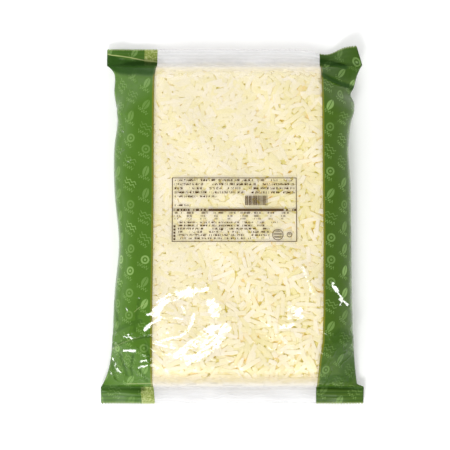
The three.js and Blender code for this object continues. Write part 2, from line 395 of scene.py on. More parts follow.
print(len(LEANS), "leaning stretches,", len(CREASES), "creases and", len(TUCKS_AND_PAINTED_SHADE), "tucks")


# %% Relief of the film
def rounded_path(path, rounds=3):
    """The path with its corners cut: each round puts points at 1/4 and 3/4 of every step."""
    path = np.array(path, float)
    for _ in range(rounds):
        start, stop = path[:-1], path[1:]
        cut = np.stack([0.75 * start + 0.25 * stop, 0.25 * start + 0.75 * stop], 1).reshape(-1, 2)
        path = np.concatenate([path[:1], cut, path[-1:]])
    return path * MM


def value_noise(x, y, size, seed):
    """Smooth random hills between -1 and 1: random corner heights of a lattice, blended by S curves."""
    lattice = np.random.default_rng(seed).uniform(-1, 1, (257, 257))
    gx, gy = x / size + 400, y / size + 400
    ix, iy = np.floor(gx).astype(int), np.floor(gy).astype(int)
    fx, fy = smooth(gx - ix), smooth(gy - iy)
    low = mix(lattice[ix % 257, iy % 257], lattice[(ix + 1) % 257, iy % 257], fx)
    high = mix(lattice[ix % 257, (iy + 1) % 257], lattice[(ix + 1) % 257, (iy + 1) % 257], fx)
    return mix(low, high, fy)


def path_distance(x, y, path):
    """Distance from every point to a path of straight steps: the least distance to any step."""
    nearest = np.full(np.shape(x), np.inf)
    for (x0, y0), (x1, y1) in zip(path[:-1], path[1:]):
        run = np.array([x1 - x0, y1 - y0])
        share = np.clip(((x - x0) * run[0] + (y - y0) * run[1]) / (run @ run), 0, 1)
        nearest = np.minimum(nearest, np.hypot(x - x0 - share * run[0], y - y0 - share * run[1]))
    return nearest


def along_paths(x, y, paths, ragged=0.0):
    """The most of smooth steps down from each path: its share at the path, 0 past 1.35 half widths.

    `ragged` adds random hills of two sizes to the distance, so that the edges wander, less so on the
    thinner paths.
    """
    most = np.zeros(np.shape(x))
    wander = ragged * (0.6 * value_noise(x, y, 4.5 * MM, 62) + 0.4 * value_noise(x, y, 2.1 * MM, 63))
    for path, half, share in paths:
        away = path_distance(x, y, rounded_path(path)) / (half * MM) + wander * half / (half + 2)
        most = np.maximum(most, share * smooth((1.35 - away) / 0.6))
    return most


def lean_of(x, y):
    """How far slack film leans, 0 to 1, with ragged edges and a few small gaps."""
    gaps = smooth((value_noise(x, y, 2.6 * MM, 61) - 0.5) / 0.25)
    return along_paths(x, y, LEANS, 0.9) * (1 - 0.3 * gaps)


def crease_relief(x, y):
    """Pressed lines: a narrow bell about each path, downwards."""
    height = np.zeros(np.shape(x))
    for path, deep, half in CREASES:
        away = path_distance(x, y, rounded_path(path))
        height = height - deep * MM * bell(away / (half * MM))
    return height


def pressed_in(x, y, along):
    """How far creases and tucks press the shown face down, and the shreds behind it with it."""
    return TUCK_DEPTH * along_paths(x, y, TUCKS_AND_PAINTED_SHADE) - crease_relief(x, y) * section(along)["filled"]


tucked = pressed_in(-0.11, 0.181, 0.181)
print("the upper left tuck is pressed in by", round(float(tucked) / MM, 2), "mm")

# %% Pleats, puckers and lumps
PLEAT_WAVE, PLEAT_HEIGHT, PLEAT_LENGTH = 13 * MM, 1.1 * MM, 26 * MM
PUCKER_WAVE, PUCKER_HEIGHT, PUCKER_LENGTH = 17 * MM, 1.0 * MM, 30 * MM
PUCKER_PLACE = 22 * MM  # how far in from the side fold the puckers are highest


def gathers(film, along):
    """Pleats that run out from the seals and puckers that run in from the side folds, dying away."""
    from_seal = np.maximum(SEAL_LINE - np.abs(along), 0)
    from_fold = np.maximum(HALF_FILM - np.abs(film), 0)
    end = np.where(along < 0, 300 * MM, 0)
    side = np.where(film < 0, 300 * MM, 0)
    pleats = value_noise(film, 0.12 * from_seal + end, PLEAT_WAVE / 2, 51) * bell(from_seal / PLEAT_LENGTH)
    puckers = value_noise(along, 0.25 * from_fold + side, PUCKER_WAVE / 2, 52)
    puckers = puckers * bell((from_fold - PUCKER_PLACE) / PUCKER_LENGTH)
    return PLEAT_HEIGHT * pleats * smooth(from_seal / (6 * MM)) + PUCKER_HEIGHT * puckers


LUMP_SIZE, LUMP_HEIGHT = 5.5 * MM, 0.5 * MM


def lumps(x, y, seed):
    """The shreds' lumps: hills of shred size, and smaller ones on top, all standing out."""
    coarse = value_noise(x, y, LUMP_SIZE, seed)
    fine = value_noise(x, y, LUMP_SIZE / 2.3, seed + 1)
    return LUMP_HEIGHT * (0.5 + 0.35 * coarse + 0.15 * fine)


print("pleats", PLEAT_HEIGHT / MM, "mm and lumps", LUMP_HEIGHT / MM, "mm high")

# %% [markdown]
# ## The film as one closed envelope
#
# The shown face and the underside are two grids with the same columns, joined along the side folds and
# closed across the two cut edges. Every other column of a cut edge stands out, which makes the teeth
# of the serrated cut. The print is laid out on a UV map that unrolls the tube: across it once is once
# round the bag, and up it is along the bag.

# %% Mesh helpers
def build_mesh(name, points, polygons):
    """A mesh from points (n, 3) and lists of faces, each an array with one row of corners a face."""
    mesh = bpy.data.meshes.new(name)
    corners = np.concatenate([faces.ravel() for faces in polygons])
    sizes = np.concatenate([np.full(len(faces), faces.shape[1]) for faces in polygons])
    mesh.vertices.add(len(points))
    mesh.vertices.foreach_set("co", np.ascontiguousarray(points, np.float32).ravel())
    mesh.loops.add(len(corners))
    mesh.loops.foreach_set("vertex_index", corners.astype(np.int32))
    mesh.polygons.add(len(sizes))
    mesh.polygons.foreach_set("loop_start", (np.cumsum(sizes) - sizes).astype(np.int32))
    mesh.polygons.foreach_set("use_smooth", np.ones(len(sizes), bool))
    mesh.update(calc_edges=True)
    return mesh


def store(mesh, name, values):
    """Stores one number for each point of the mesh."""
    attribute = mesh.attributes.new(name, "FLOAT", "POINT")
    attribute.data.foreach_set("value", np.ravel(values).astype(np.float32))


def add_piece(mesh, material):
    """Puts a mesh in the scene as a piece of the bag, with its finish, under the root body."""
    mesh.materials.append(material)
    piece = bpy.data.objects.new(mesh.name, mesh)
    bpy.context.scene.collection.objects.link(piece)
    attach(piece, "root")
    triangles = sum(len(p.vertices) - 2 for p in mesh.polygons)
    print(f"{mesh.name}: {len(mesh.vertices)} points, {triangles} triangles")
    return piece


# %% The points of the envelope
FILM_STAND_OFF = 0.3 * MM  # the film lies this far outside the cheese
SEAL_FILM = 0.16 * MM  # half of the two layers where they are sealed


def envelope_points():
    """Rings of points, row by row: the shown face from left to right, then the underside back again."""
    place = np.repeat(alongs[:, None], COLUMNS + 1, 1)
    tips = np.where(np.arange(COLUMNS + 1) % 2 == 1, 0, TOOTH_DEPTH)
    place[0] -= tips
    place[-1] += tips
    film = np.broadcast_to(films, place.shape)
    part = section(place)
    side = smooth((HALF_FILM - np.abs(film)) / (12 * MM))
    room = (plain_film(1, film, place) - plain_film(-1, film, place))[..., 2]
    faces = []
    for face in (1, -1):
        points = plain_film(face, film, place) + PLACE
        x, y = points[..., 0], points[..., 1]
        wall = mix(SEAL_FILM, FILM_STAND_OFF, part["filled"])
        relief = face * np.abs(gathers(film, place)) * side * smooth(part["filled"] / 0.5)
        if face > 0:
            relief = relief + (lumps(x, y, 11) * part["filled"] - pressed_in(x, y, place)) * side
        else:
            relief = relief - TUCK_DEPTH * along_paths(x, y, TUCKS_AND_PAINTED_SHADE) * side * (1 - smooth(room / (8 * MM)))
        edge = smooth((HALF_FILM - np.abs(film)) / (2 * MM))
        points[..., 2] += SEAL_WALL * part["filled"] * face + face * wall * edge + relief
        faces.append(points)
    top, back = faces
    fold = (top[:, [0, -1]] + back[:, [0, -1]]) / 2
    top[:, [0, -1]] = fold
    return np.concatenate([top, back[:, -2:0:-1]], 1)


envelope = envelope_points()
envelope[..., 2] -= min(0.0, envelope[..., 2].min())
print("the film spans", np.round(np.ptp(envelope.reshape(-1, 3), axis=0), 4), "m")


# %% Faces and the unrolled print map
TUBE = 2 * FLAT_WIDTH  # once round the film
PRINT_HOLD = 80 * MM  # from here outwards the print moves with the edge of its window
# side: where that window edge is on the flat film, then its (along, across) places on the filled bag
WINDOW_EDGES = {
    -1: (-90, [(-204, -88.9), (-178, -90.9), (-96, -90.6), (-17, -89.5), (85, -88.9), (171, -88.3),
               (188, -86.2), (204, -85.9)]),
    1: (103, [(-204, 96.2), (-186, 96.2), (-167, 97.3), (-151, 98.5), (-130, 101.6), (-96, 102.5),
              (-17, 102.7), (85, 101.6), (171, 101.0), (188, 100.4), (204, 100.4)]),
}


def window_shifts():
    """For each side and row, how far the print moves so that its window edge lies where it should."""
    shifts = {}
    for side, (flat, places) in WINDOW_EDGES.items():
        along, across = np.array(places[:]).T * MM
        wanted = np.interp(alongs, along, across)
        lies = np.array([np.interp(x, row, films) for x, row in zip(wanted, envelope[:, :COLUMNS + 1, 0])])
        shifts[side] = flat * MM - lies
    return shifts


SHIFTS = window_shifts()


def print_map(ring, row):
    """UV of grid corners: across is the place round the tube and up the place along the bag, 0 to 1.

    The film is gathered at the corners, so on each side the print is moved by a smooth step.
    """
    film = films[np.where(ring <= COLUMNS, ring, 2 * COLUMNS - ring)]
    around = ring * (FLAT_WIDTH / COLUMNS)
    for side, shift in SHIFTS.items():
        around = around + shift[row] * smooth(side * film / PRINT_HOLD)
    return np.stack([around / TUBE, alongs[row] / BAG_LENGTH + 0.5], -1)


def envelope_mesh(points):
    """Quads between neighbouring rings, and thin strips that close the two cut edges."""
    rows, ring = points.shape[:2]
    row, place = np.meshgrid(np.arange(rows - 1), np.arange(ring), indexing="ij")
    corner_rows = np.stack([row, row + 1, row + 1, row], -1).reshape(-1, 4)
    corner_rings = np.stack([place, place, place + 1, place + 1], -1).reshape(-1, 4)
    step = np.arange(1, COLUMNS - 1)
    parts = [(corner_rows, corner_rings)]
    for end, flip in ((0, False), (rows - 1, True)):
        strip = np.stack([ring - step, step, step + 1, ring - step - 1], -1)
        tips = np.array([[0, 1, ring - 1], [COLUMNS, ring - COLUMNS + 1, COLUMNS - 1]])
        for corners in (strip, tips):
            corners = corners[:, ::-1] if flip else corners
            parts.append((np.full(corners.shape, end), corners))
    faces = [part_rows * ring + part_rings % ring for part_rows, part_rings in parts]
    mesh = build_mesh("printed_film", points.reshape(-1, 3), faces)
    uv = np.concatenate([print_map(rings.ravel(), rows_.ravel()) for rows_, rings in parts])
    layer = mesh.uv_layers.new(name="print")
    layer.data.foreach_set("uv", uv.astype(np.float32).ravel())
    x, y = points[..., 0], points[..., 1]
    # the stored tuck share also paints shade into the ink's colour
    for word, values in (("lean", lean_of(x, y)), ("tuck", along_paths(x, y, TUCKS_AND_PAINTED_SHADE))):
        values[:, COLUMNS + 1:] = 0
        store(mesh, word, values)
    return mesh


film_mesh = envelope_mesh(envelope)
edges_open = len(film_mesh.vertices) - len(film_mesh.edges) + len(film_mesh.polygons)
print("the envelope has", len(film_mesh.polygons), "faces; a closed one gives 2:", edges_open)

# %% [markdown]
# ## The shreds
#
# Real shreds are cut strips of cheese about 5 mm wide that settle flat against the film. They could be
# dropped in by a physics simulation, but that is slow and never quite touches the film. Here each layer
# is packed like floor tiles instead: long shreds first, each kept only where little of its place is
# taken, then shorter ones in the gaps. A second layer behind shows through what is left.
#
# The packing is done on the unrolled film, where across is film distance and up is the distance walked
# along the film's middle line. Every shred then follows the film's surface at its own depth. The first
# layer runs right round the filled sides; the second is needed only behind the clear window.

# %% The film unrolled
def walk_table(face):
    """Distance walked along the film's middle line for places along the bag, and those places."""
    place = np.linspace(-SEAL_LINE, SEAL_LINE, 4001)
    line = plain_film(face, 0.0, place)
    steps = np.linalg.norm(np.diff(line, axis=0), axis=1)
    walked = np.concatenate([[0], np.cumsum(steps)])
    return walked - walked[-1] / 2, place


WALKS = {face: walk_table(face) for face in (1, -1)}


def film_frame(face, film, walk):
    """Point, outward normal and the two directions along the film, by small differences."""
    table, place = WALKS[face]
    small = 0.5 * MM
    def at(f, w):
        return plain_film(face, f, np.interp(w, table, place)) + PLACE
    across = at(film + small, walk) - at(film - small, walk)
    up = at(film, walk + small) - at(film, walk - small)
    normal = np.cross(across, up) * face
    normal /= np.linalg.norm(normal, axis=-1, keepdims=True) + 1e-12
    return at(film, walk), normal


def room_inside(face, film, walk):
    """How far apart the shown face and the underside are at a place: the difference of their heights."""
    table, place = WALKS[face]
    along = np.interp(walk, table, place)
    return (plain_film(1, film, along) - plain_film(-1, film, along))[..., 2]


print("the shown film is", round(float(np.ptp(WALKS[1][0])), 4), "m long between the seals")


# %% Packing one layer of shreds
CELL = 1 * MM
SLACK_END = 7 * MM  # the fill stops this far short of the lower seal, measured along the film
MOSTLY_ACROSS = 0.14  # turns directions towards across the bag
SHRED_KINDS = [  # shortest, longest, tries, how much of its place may be taken
    (15 * MM, 27 * MM, 3100, 0.3),
    (9 * MM, 16 * MM, 6000, 0.36),
    (6 * MM, 10 * MM, 8400, 0.4),
    (4 * MM, 7 * MM, 6000, 0.4),
]
SHRED_WIDTH = 4.2 * MM, 5.8 * MM
SHRED_THICKNESS = 2.2 * MM, 3.0 * MM
SHRED_BOW = 0.035  # how far a shred's middle stands aside, as a share of its length
LEAST_ROOM = 7.5 * MM  # the corners are too thin for shreds where the film's faces are closer than this


def looseness(x, y):
    """How unevenly the shreds lie, 0 to 1: a smooth step towards the right and the lower end."""
    return smooth((x - y / 3 + 60 * MM) / (110 * MM))


def pack_layer(face, seed, ease, reach):
    """Places of one layer, as rows of film, walk, direction, length, width, thickness and bow."""
    rng = np.random.default_rng(seed)
    half_walk = WALKS[face][0][-1] - 1.5 * MM
    lowest_walk = SLACK_END - half_walk
    shape = (int(2 * reach / CELL) + 2, int(2 * half_walk / CELL) + 2)
    cell_film, cell_walk = (np.indices(shape) + 0.5) * CELL - np.array([reach, half_walk])[:, None, None]
    thin = room_inside(face, cell_film, cell_walk) < LEAST_ROOM
    taken = np.zeros(shape, bool)
    kept = []
    for short, long, tries, tolerance in SHRED_KINDS:
        film = rng.uniform(-reach, reach, tries)
        walk = rng.uniform(-half_walk, half_walk, tries)
        turn = rng.uniform(0, math.pi, tries)
        turn -= MOSTLY_ACROSS * np.sin(2 * turn)
        length = rng.uniform(short, long, tries)
        width = rng.uniform(*SHRED_WIDTH, tries)
        thick = rng.uniform(*SHRED_THICKNESS, tries)
        bow = rng.normal(0, SHRED_BOW, tries) * length
        for one in np.stack([film, walk, turn, length, width, thick, bow], 1):
            steps = np.linspace(-0.5, 0.5, max(int(one[3] / CELL), 3))
            aside = np.array([-0.36, 0, 0.36])[:, None] * one[4]
            shift = aside + one[6] * (1 - 4 * steps**2)
            u = one[0] + steps * one[3] * math.cos(one[2]) - shift * math.sin(one[2])
            w = one[1] + steps * one[3] * math.sin(one[2]) + shift * math.cos(one[2])
            if np.abs(u).max() > reach or w.max() > half_walk or w.min() < lowest_walk:
                continue
            cells = ((u + reach) / CELL).astype(int), ((w + half_walk) / CELL).astype(int)
            allowed = tolerance * ease * (1.4 - 0.45 * looseness(one[0], one[1]))
            if taken[cells].mean() <= allowed and not thin[cells].any():
                taken[cells] = True
                kept.append(one)
    print(f"a layer of {len(kept)} shreds covers {taken[~thin].mean():.0%}")
    return np.array(kept)


# %% Bodies of the shreds
SPINE = 5  # points along a shred
DEEPEST = 1.7 * MM  # where the cheese has its deepest colour
SHRED_END = SEAL_LINE - 2.8 * MM  # shreds that lie across the end slopes are pressed flat here
SHRED_TILT = 0.007  # how far one end lies under the other, as a share of half the length
SHRED_ROLL = 0.03  # turn about its own length, in radians
EVEN_SINK, LOOSE_SINK = 0.1 * MM, 0.55 * MM  # how unevenly deep shreds lie, and more where they are loose
SHRED_TAPER, SHRED_UNEVEN = 0.25, 0.06  # narrowing at the ends, and change of width along it
SECTION = np.array([(0.5, 0.38), (0.43, 0.5), (-0.43, 0.5), (-0.5, 0.38), (-0.47, -0.5), (0.47, -0.5)])


def shred_mesh(name, face, places, depth, seed):
    """Strips with a bevelled box section, bent along the film at their depth and tapered at the ends."""
    rng = np.random.default_rng(seed)
    film, walk, turn, length, width, thick, bow = places.T
    count = len(places)
    t = np.linspace(-0.5, 0.5, SPINE)[None, :]
    shift = bow[:, None] * (1 - 4 * t**2)
    u = film[:, None] + t * length[:, None] * np.cos(turn)[:, None] - shift * np.sin(turn)[:, None]
    w = walk[:, None] + t * length[:, None] * np.sin(turn)[:, None] + shift * np.cos(turn)[:, None]
    point, normal = film_frame(face, u, w)
    tilt = rng.normal(0, SHRED_TILT, (count, 1)) * length[:, None] * (2 * t)
    loose = looseness(point[:, 2:3, 0], point[:, 2:3, 1])
    sink = rng.uniform(0, 1, (count, 1)) * (EVEN_SINK + LOOSE_SINK * loose)
    sunk = depth + sink + tilt - tilt.min(1, keepdims=True)
    if face > 0:
        sunk = sunk + pressed_in(point[..., 0], point[..., 1], point[..., 1] - PLACE[1])
    spine = point - normal * (sunk + thick[:, None] / 2)[..., None]
    tangent = np.gradient(spine, axis=1)
    tangent /= np.linalg.norm(tangent, axis=-1, keepdims=True) + 1e-12
    side = np.cross(normal, tangent)
    roll, twist = rng.normal(0, SHRED_ROLL, (count, 1, 1)), rng.normal(0, SHRED_ROLL, (count, 1, 1))
    roll = roll + twist * (2 * t)[..., None]
    across = side * np.cos(roll) + normal * np.sin(roll)
    over = normal * np.cos(roll) - side * np.sin(roll)
    taper = 1 - rng.uniform(0, SHRED_TAPER, (count, 1)) * (2 * t) ** 8
    uneven = 1 + rng.normal(0, SHRED_UNEVEN, (count, SPINE))
    wide = (width[:, None] * taper * uneven)[..., None, None]
    tall = (thick[:, None] * (0.5 + 0.5 * taper))[..., None, None]
    ring = (spine[:, :, None] + across[:, :, None] * wide * SECTION[:, 0, None]
            + over[:, :, None] * tall * SECTION[:, 1, None])
    points = ring.reshape(-1, 3)
    points[:, 2] = np.maximum(points[:, 2], 0.5 * MM)
    points[:, 1] = np.clip(points[:, 1] - PLACE[1], -SHRED_END, SHRED_END) + PLACE[1]
    sides = len(SECTION)
    start = (np.arange(count) * SPINE * sides)[:, None, None]
    along_k = (np.arange(SPINE - 1) * sides)[None, :, None]
    j = np.arange(sides)[None, None, :]
    a, b = start + along_k + j, start + along_k + (j + 1) % sides
    quads = np.stack([a, a + sides, b + sides, b], -1).reshape(-1, 4)
    first = start[:, 0] + np.arange(sides)
    last = start[:, 0] + (SPINE - 1) * sides + np.arange(sides)[::-1]
    mesh = build_mesh(name, points, [quads, np.concatenate([first, last])])
    mesh.set_sharp_from_angle(angle=math.radians(30))
    tone = np.repeat(rng.uniform(0, 1, count), SPINE * sides)
    below = sunk[..., None] + tall[..., 0] * (0.5 - SECTION[:, 1]) - tall[..., 0] * 0.12
    store(mesh, "tone", tone)
    store(mesh, "deep", np.clip(below / DEEPEST, 0, 1))
    return mesh


print("a shred has", SPINE * len(SECTION), "points")

# %% The layers of shreds
LAYER_DROP = 0.9 * MM  # each layer lies this much further behind the film
LAYERS = [  # name, face, depth, seed, how easily shreds overlap, how far from the middle line
    ("shreds_on_top", 1, 0 * MM, 21, 1.0, 142 * MM),
    ("shreds_behind", 1, LAYER_DROP, 22, 0.7, 112 * MM),
    ("shreds_below", -1, 0 * MM, 23, 0.8, 142 * MM),
]
shred_meshes = [
    shred_mesh(name, face, pack_layer(face, seed, ease, reach), depth, seed + 100)
    for name, face, depth, seed, ease, reach in LAYERS
]
print("three layers of shreds:", sum(len(mesh.polygons) for mesh in shred_meshes), "faces")

# %% [markdown]
# ## The heart of the fill
#
# Behind two layers nothing more can be seen, so the middle is one lumpy closed body instead of tens of
# thousands of hidden shreds. It is the film's own shape, drawn in by the depth of the layers.

# %% The heart
HEART_ACROSS, HEART_ALONG = 147 * MM, SEAL_LINE - 4 * MM
HEART_DEPTH = 3 * LAYER_DROP
HEART_COLUMNS, HEART_ROWS = 150, 200


def heart_mesh():
    """Both faces of the film moved inwards along their normals; they close on each other at the rim,
    where half the thickness is multiplied by (1 - u^24)^(1/2) and (1 - v^24)^(1/2)."""
    u = np.linspace(-1, 1, HEART_COLUMNS + 1)[None, :] * np.ones((HEART_ROWS + 1, 1))
    v = np.linspace(-1, 1, HEART_ROWS + 1)[:, None] * np.ones((1, HEART_COLUMNS + 1))
    along = v * HEART_ALONG + SLACK_END * (1 - v) / 2
    faces = []
    for face in (1, -1):
        table, place = WALKS[face]
        point, normal = film_frame(face, u * HEART_ACROSS, np.interp(along, place, table))
        room = room_inside(face, u * HEART_ACROSS, np.interp(along, place, table))
        bumps = 0.7 * MM * value_noise(point[..., 0], point[..., 1] + face, 3.5 * MM, 31)
        pressed = (face > 0) * pressed_in(point[..., 0], point[..., 1], point[..., 1] - PLACE[1])
        depth = np.minimum(HEART_DEPTH + bumps, 0.3 * np.maximum(room - pressed, 0))
        faces.append(point - normal * np.minimum(depth + pressed, 0.48 * room)[..., None])
    top, back = faces
    half = (top - back) / 2 * np.sqrt((1 - u**24) * (1 - v**24))[..., None]
    up, down = (top + back) / 2 + half, (top + back) / 2 - half
    columns, rows = HEART_COLUMNS + 1, HEART_ROWS + 1
    number = np.arange(rows * columns).reshape(rows, columns)
    inside = np.zeros((rows, columns), bool)
    inside[1:-1, 1:-1] = True
    lower = number.copy()
    lower[inside] = rows * columns + np.arange(inside.sum())
    points = np.concatenate([up.reshape(-1, 3), down[inside]])
    upper_faces = np.stack([number[:-1, :-1], number[:-1, 1:], number[1:, 1:], number[1:, :-1]], -1)
    lower_faces = np.stack([lower[:-1, :-1], lower[1:, :-1], lower[1:, 1:], lower[:-1, 1:]], -1)
    mesh = build_mesh("heart_of_the_fill", points, [upper_faces.reshape(-1, 4), lower_faces.reshape(-1, 4)])
    store(mesh, "tone", np.full(len(points), 0.8))
    store(mesh, "deep", np.full(len(points), 1.0))
    return mesh


heart = heart_mesh()
print("the heart has", len(heart.polygons), "faces")

# %% [markdown]
# ## A small language for finishes
#
# Shader nodes are easier to read as sums. A `Wire` wraps a socket, so that `1 - mask` adds the Math node
# that works it out, and a `Finish` adds any other node from its type, its settings and its inputs.

# %% Wires
class Wire:
    """An output socket. Python's operators on it add the Math nodes that the table below names."""

    def __init__(self, finish, socket):
        self.finish, self.socket = finish, socket

    def math(self, operation, *others, clamp=False, first=None):
        values = [self, *others] if first is None else [first, self]
        settings = {"operation": operation, "use_clamp": clamp}
        return self.finish.node("ShaderNodeMath", settings, dict(enumerate(values)))

    def __rsub__(self, other):
        return self.math("SUBTRACT", first=other)

    def inside(self, soft):
        """1 where the value is above 0 and 0 below, with an edge `soft` wide."""
        return self.math("MULTIPLY_ADD", 1 / soft, 0.5, clamp=True)


OPERATIONS = {
    "__add__": "ADD", "__radd__": "ADD", "__sub__": "SUBTRACT", "__mul__": "MULTIPLY", "__rmul__": "MULTIPLY",
    "__truediv__": "DIVIDE", "__mod__": "FLOORED_MODULO", "__pow__": "POWER", "__abs__": "ABSOLUTE",
    "__gt__": "GREATER_THAN", "__lt__": "LESS_THAN", "least": "MINIMUM", "most": "MAXIMUM",
    "floor": "FLOOR", "root": "SQRT", "sine": "SINE", "cosine": "COSINE",
}
for word, operation in OPERATIONS.items():
    setattr(Wire, word, lambda wire, *others, way=operation: wire.math(way, *others))
print("a wire knows", len(OPERATIONS) + 1, "operators")


# %% Finishes
class Finish:
    """The nodes that make a material, or the light of the surround."""

    def __init__(self, holder):
        holder.use_nodes = True
        self.holder, self.tree = holder, holder.node_tree
        self.tree.nodes.clear()

    def node(self, kind, settings, inputs, output=0):
        """Adds a node: its settings first, then a value or a wire for each input. Gives one output."""
        node = self.tree.nodes.new(kind)
        for name, value in settings.items():
            setattr(node, name, value)
        for name, value in inputs.items():
            if isinstance(value, Wire):
                self.tree.links.new(value.socket, node.inputs[name])
            else:
                node.inputs[name].default_value = value
        return Wire(self, node.outputs[output])

    def stored(self, name):
        """A number that is stored in the mesh, point by point."""
        return self.node("ShaderNodeAttribute", {"attribute_name": name}, {}, "Fac")

    def place(self):
        """The point's own place on the piece, in metres."""
        return self.node("ShaderNodeTexCoord", {}, {}, "Object")

    def split(self, vector):
        """The three parts of a vector, as wires."""
        parts = self.node("ShaderNodeSeparateXYZ", {}, {0: vector}).socket.node
        return [Wire(self, socket) for socket in parts.outputs]

    def join(self, x, y, z=0.0):
        return self.node("ShaderNodeCombineXYZ", {}, {0: x, 1: y, 2: z})

    def colour(self, low, high, share, blend="MIX"):
        """low where share is 0 and high where it is 1."""
        settings = {"data_type": "RGBA", "blend_type": blend, "clamp_factor": True}
        return self.node("ShaderNodeMix", settings, {0: share, 6: low, 7: high}, 2)

    def vector(self, low, high, share):
        """The same for vectors."""
        return self.node("ShaderNodeMix", {"data_type": "VECTOR"}, {0: share, 4: low, 5: high}, 1)

    def chance(self, x, y):
        """A random number from 0 to 1 for each pair of whole numbers."""
        settings = {"noise_dimensions": "2D"}
        return self.node("ShaderNodeTexWhiteNoise", settings, {"Vector": self.join(x, y)}, 0)

    def hills(self, place, scale, detail=2.0, roughness=0.5):
        """Noise from 0 to 1 over a place."""
        inputs = {"Vector": place, "Scale": scale, "Detail": detail, "Roughness": roughness}
        return self.node("ShaderNodeTexNoise", {"noise_dimensions": "3D"}, inputs, 0)

    def bump(self, height, strength, distance):
        inputs = {"Strength": strength, "Distance": distance, "Height": height}
        return self.node("ShaderNodeBump", {}, inputs)

    def surface(self, **inputs):
        """A Principled surface; an underscore in a name stands for a space."""
        named = {name.replace("_", " "): value for name, value in inputs.items()}
        return self.node("ShaderNodeBsdfPrincipled", {}, named)

    def blend(self, low, high, share):
        """One surface where share is 0 and the other where it is 1."""
        return self.node("ShaderNodeMixShader", {}, {0: share, 1: low, 2: high})

    def done(self, surface, output="ShaderNodeOutputMaterial"):
        end = self.tree.nodes.new(output)
        self.tree.links.new(surface.socket, end.inputs["Surface"])
        print(self.holder.name, "is made of", len(self.tree.nodes), "nodes")
        return self.holder


def srgb(red, green, blue):
    """A colour as read on a screen, 0 to 255, as the linear colour that a shader takes."""
    parts = np.array([red, green, blue]) / 255
    linear = np.where(parts <= 0.04045, parts / 12.92, ((parts + 0.055) / 1.055) ** 2.4)
    return (*(float(part) for part in linear), 1.0)


print("a screen grey of 128 is", round(srgb(128, 128, 128)[0], 3), "in a shader")

# %% [markdown]
# ## Cheese
#
# Shredded cheese is a matt cream solid whose cut faces are a little uneven. Light sinks in and comes out
# warmer, so deeper places look golden. A subsurface shader would work that out, but it goes wrong where
# shreds pass through each other, so that light is painted instead, from the depth under the film kept in the
# mesh. Depth turns the colour darker and golden and adds a painted glow, weak on the shreds' tops and
# stronger in the gaps, for the light that comes through the shreds around a gap. Each shred also has its
# own tone from a random number.

# %% The cheese finish
CHEESE_PALE = srgb(242, 232, 207)
CHEESE_WARM = srgb(236, 224, 160)
# painted light: these darker golden colours and the two glows below stand in for light passing through the
# shreds
OLIVE_DEEP = srgb(184, 176, 56)
ORANGE_DEEP = srgb(208, 164, 64)
PAINTED_GLOW_SHALLOW = srgb(46, 43, 34)
PAINTED_GLOW_DEEP = srgb(120, 107, 34)


def cheese_finish():
    finish = Finish(bpy.data.materials.new("cheese"))
    tone = finish.stored("tone")
    deep = finish.stored("deep")
    place = finish.place()
    blotch = finish.hills(place, 160.0)
    grain = finish.hills(place, 900.0, 3.0, 0.6)
    pale = finish.colour(CHEESE_PALE, CHEESE_WARM, tone * 0.75 + (blotch - 0.5) * 0.5)
    golden = finish.colour(OLIVE_DEEP, ORANGE_DEEP, (finish.hills(place, 75.0) - 0.57).inside(0.2))
    # painted light: darker and golden with depth, with a painted glow that grows with depth
    colour = finish.colour(pale, golden, (deep * 0.95).least(1.0))
    painted_glow = finish.colour(PAINTED_GLOW_SHALLOW, PAINTED_GLOW_DEEP, (deep * 1.2).least(1.0))
    relief = finish.bump(grain, 0.25, 0.0006)
    return finish.done(finish.surface(
        Base_Color=colour, Roughness=grain * 0.2 + 0.42, Normal=relief,
        Emission_Color=painted_glow, Emission_Strength=1.0,
    ))


cheese = cheese_finish()

# %% [markdown]
# ## Film and print
#
# The film is clear and glossy. The print is ink on it: two green bands, a brown table and small marks.
# A picture could be wrapped round the bag, but it would blur from near by. Here the print is drawn by
# sums on the unrolled print map, in millimetres across and along, so it stays sharp. Film without ink is
# a see-through surface with a thin mirror on it, clouded near the seams where it is doubled and dusty.

# %% Where the ink lies
GREEN = srgb(75, 113, 30)
# painted shade: the right band's green is darker because that side faces away from the light
GREEN_RIGHT_PAINTED_SHADE = srgb(66, 96, 22)
# painted shade colour, for tucks and the crimp's valleys
GREEN_PAINTED_SHADE = srgb(36, 72, 14)
GREEN_LIGHT = srgb(136, 170, 94)
OLIVE = srgb(112, 116, 12)
EYE_MARK = srgb(126, 144, 58)
# pale green of the eye mark's speckles, also used for painted highlights along creases
EYE_PALE_AND_HIGHLIGHT = srgb(182, 192, 124)
BROWN = srgb(76, 50, 14)
ROUND = TUBE / MM
WINDOW_LEFT, WINDOW_RIGHT = 61.0, 254.0  # edges of the shown window, round the tube from the left fold
BACK_LEFT, BACK_RIGHT = 551.0, 355.0  # edges of the window in the underside
LEFT_BAND = ROUND - BACK_LEFT + WINDOW_LEFT
BARE_INK = 2.2  # the last of the green next to a window has no white behind it
EYE_WIDE = 15.0
SEAL_MM = SEAL_LINE / MM


def boxed(x, y, left, right, low, high, soft=0.3):
    """1 inside an upright rectangle."""
    return (x - left).least(right - x).least((y - low).least(high - y)).inside(soft)


print("the print map is", round(ROUND, 1), "mm round, and a green band", round(LEFT_BAND, 1), "mm wide")

# %% The small marks in the bands
MARK_ACROSS, MARK_ALONG = 18.0, 25.0


